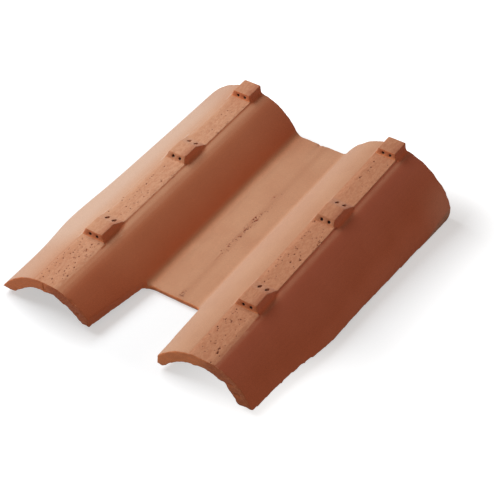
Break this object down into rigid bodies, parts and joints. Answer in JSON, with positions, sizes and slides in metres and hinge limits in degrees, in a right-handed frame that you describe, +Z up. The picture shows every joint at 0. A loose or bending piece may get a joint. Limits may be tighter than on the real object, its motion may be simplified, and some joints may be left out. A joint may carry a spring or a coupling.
{
  "type": "clay roof tile",
  "caption": "Double-barrel clay roof tile with a joining web, sheared crest ribs with batten lugs, a notched narrow end and sloping leg edges.",
  "frame": {"origin": "middle of the tile's footprint, on the floor that it rests on", "axes": "+Y along the barrels from the narrow notched end to the wide end, +Z up, +X across the barrels"},
  "size_m": [0.3468, 0.4044, 0.0831],
  "materials": {
    "fired_clay": "unglazed matt fired clay, pale on the skin and browner where it was cut"
  },
  "bodies": {
    "root": {"roof_tile": "fired_clay"}
  },
  "joints": []
}
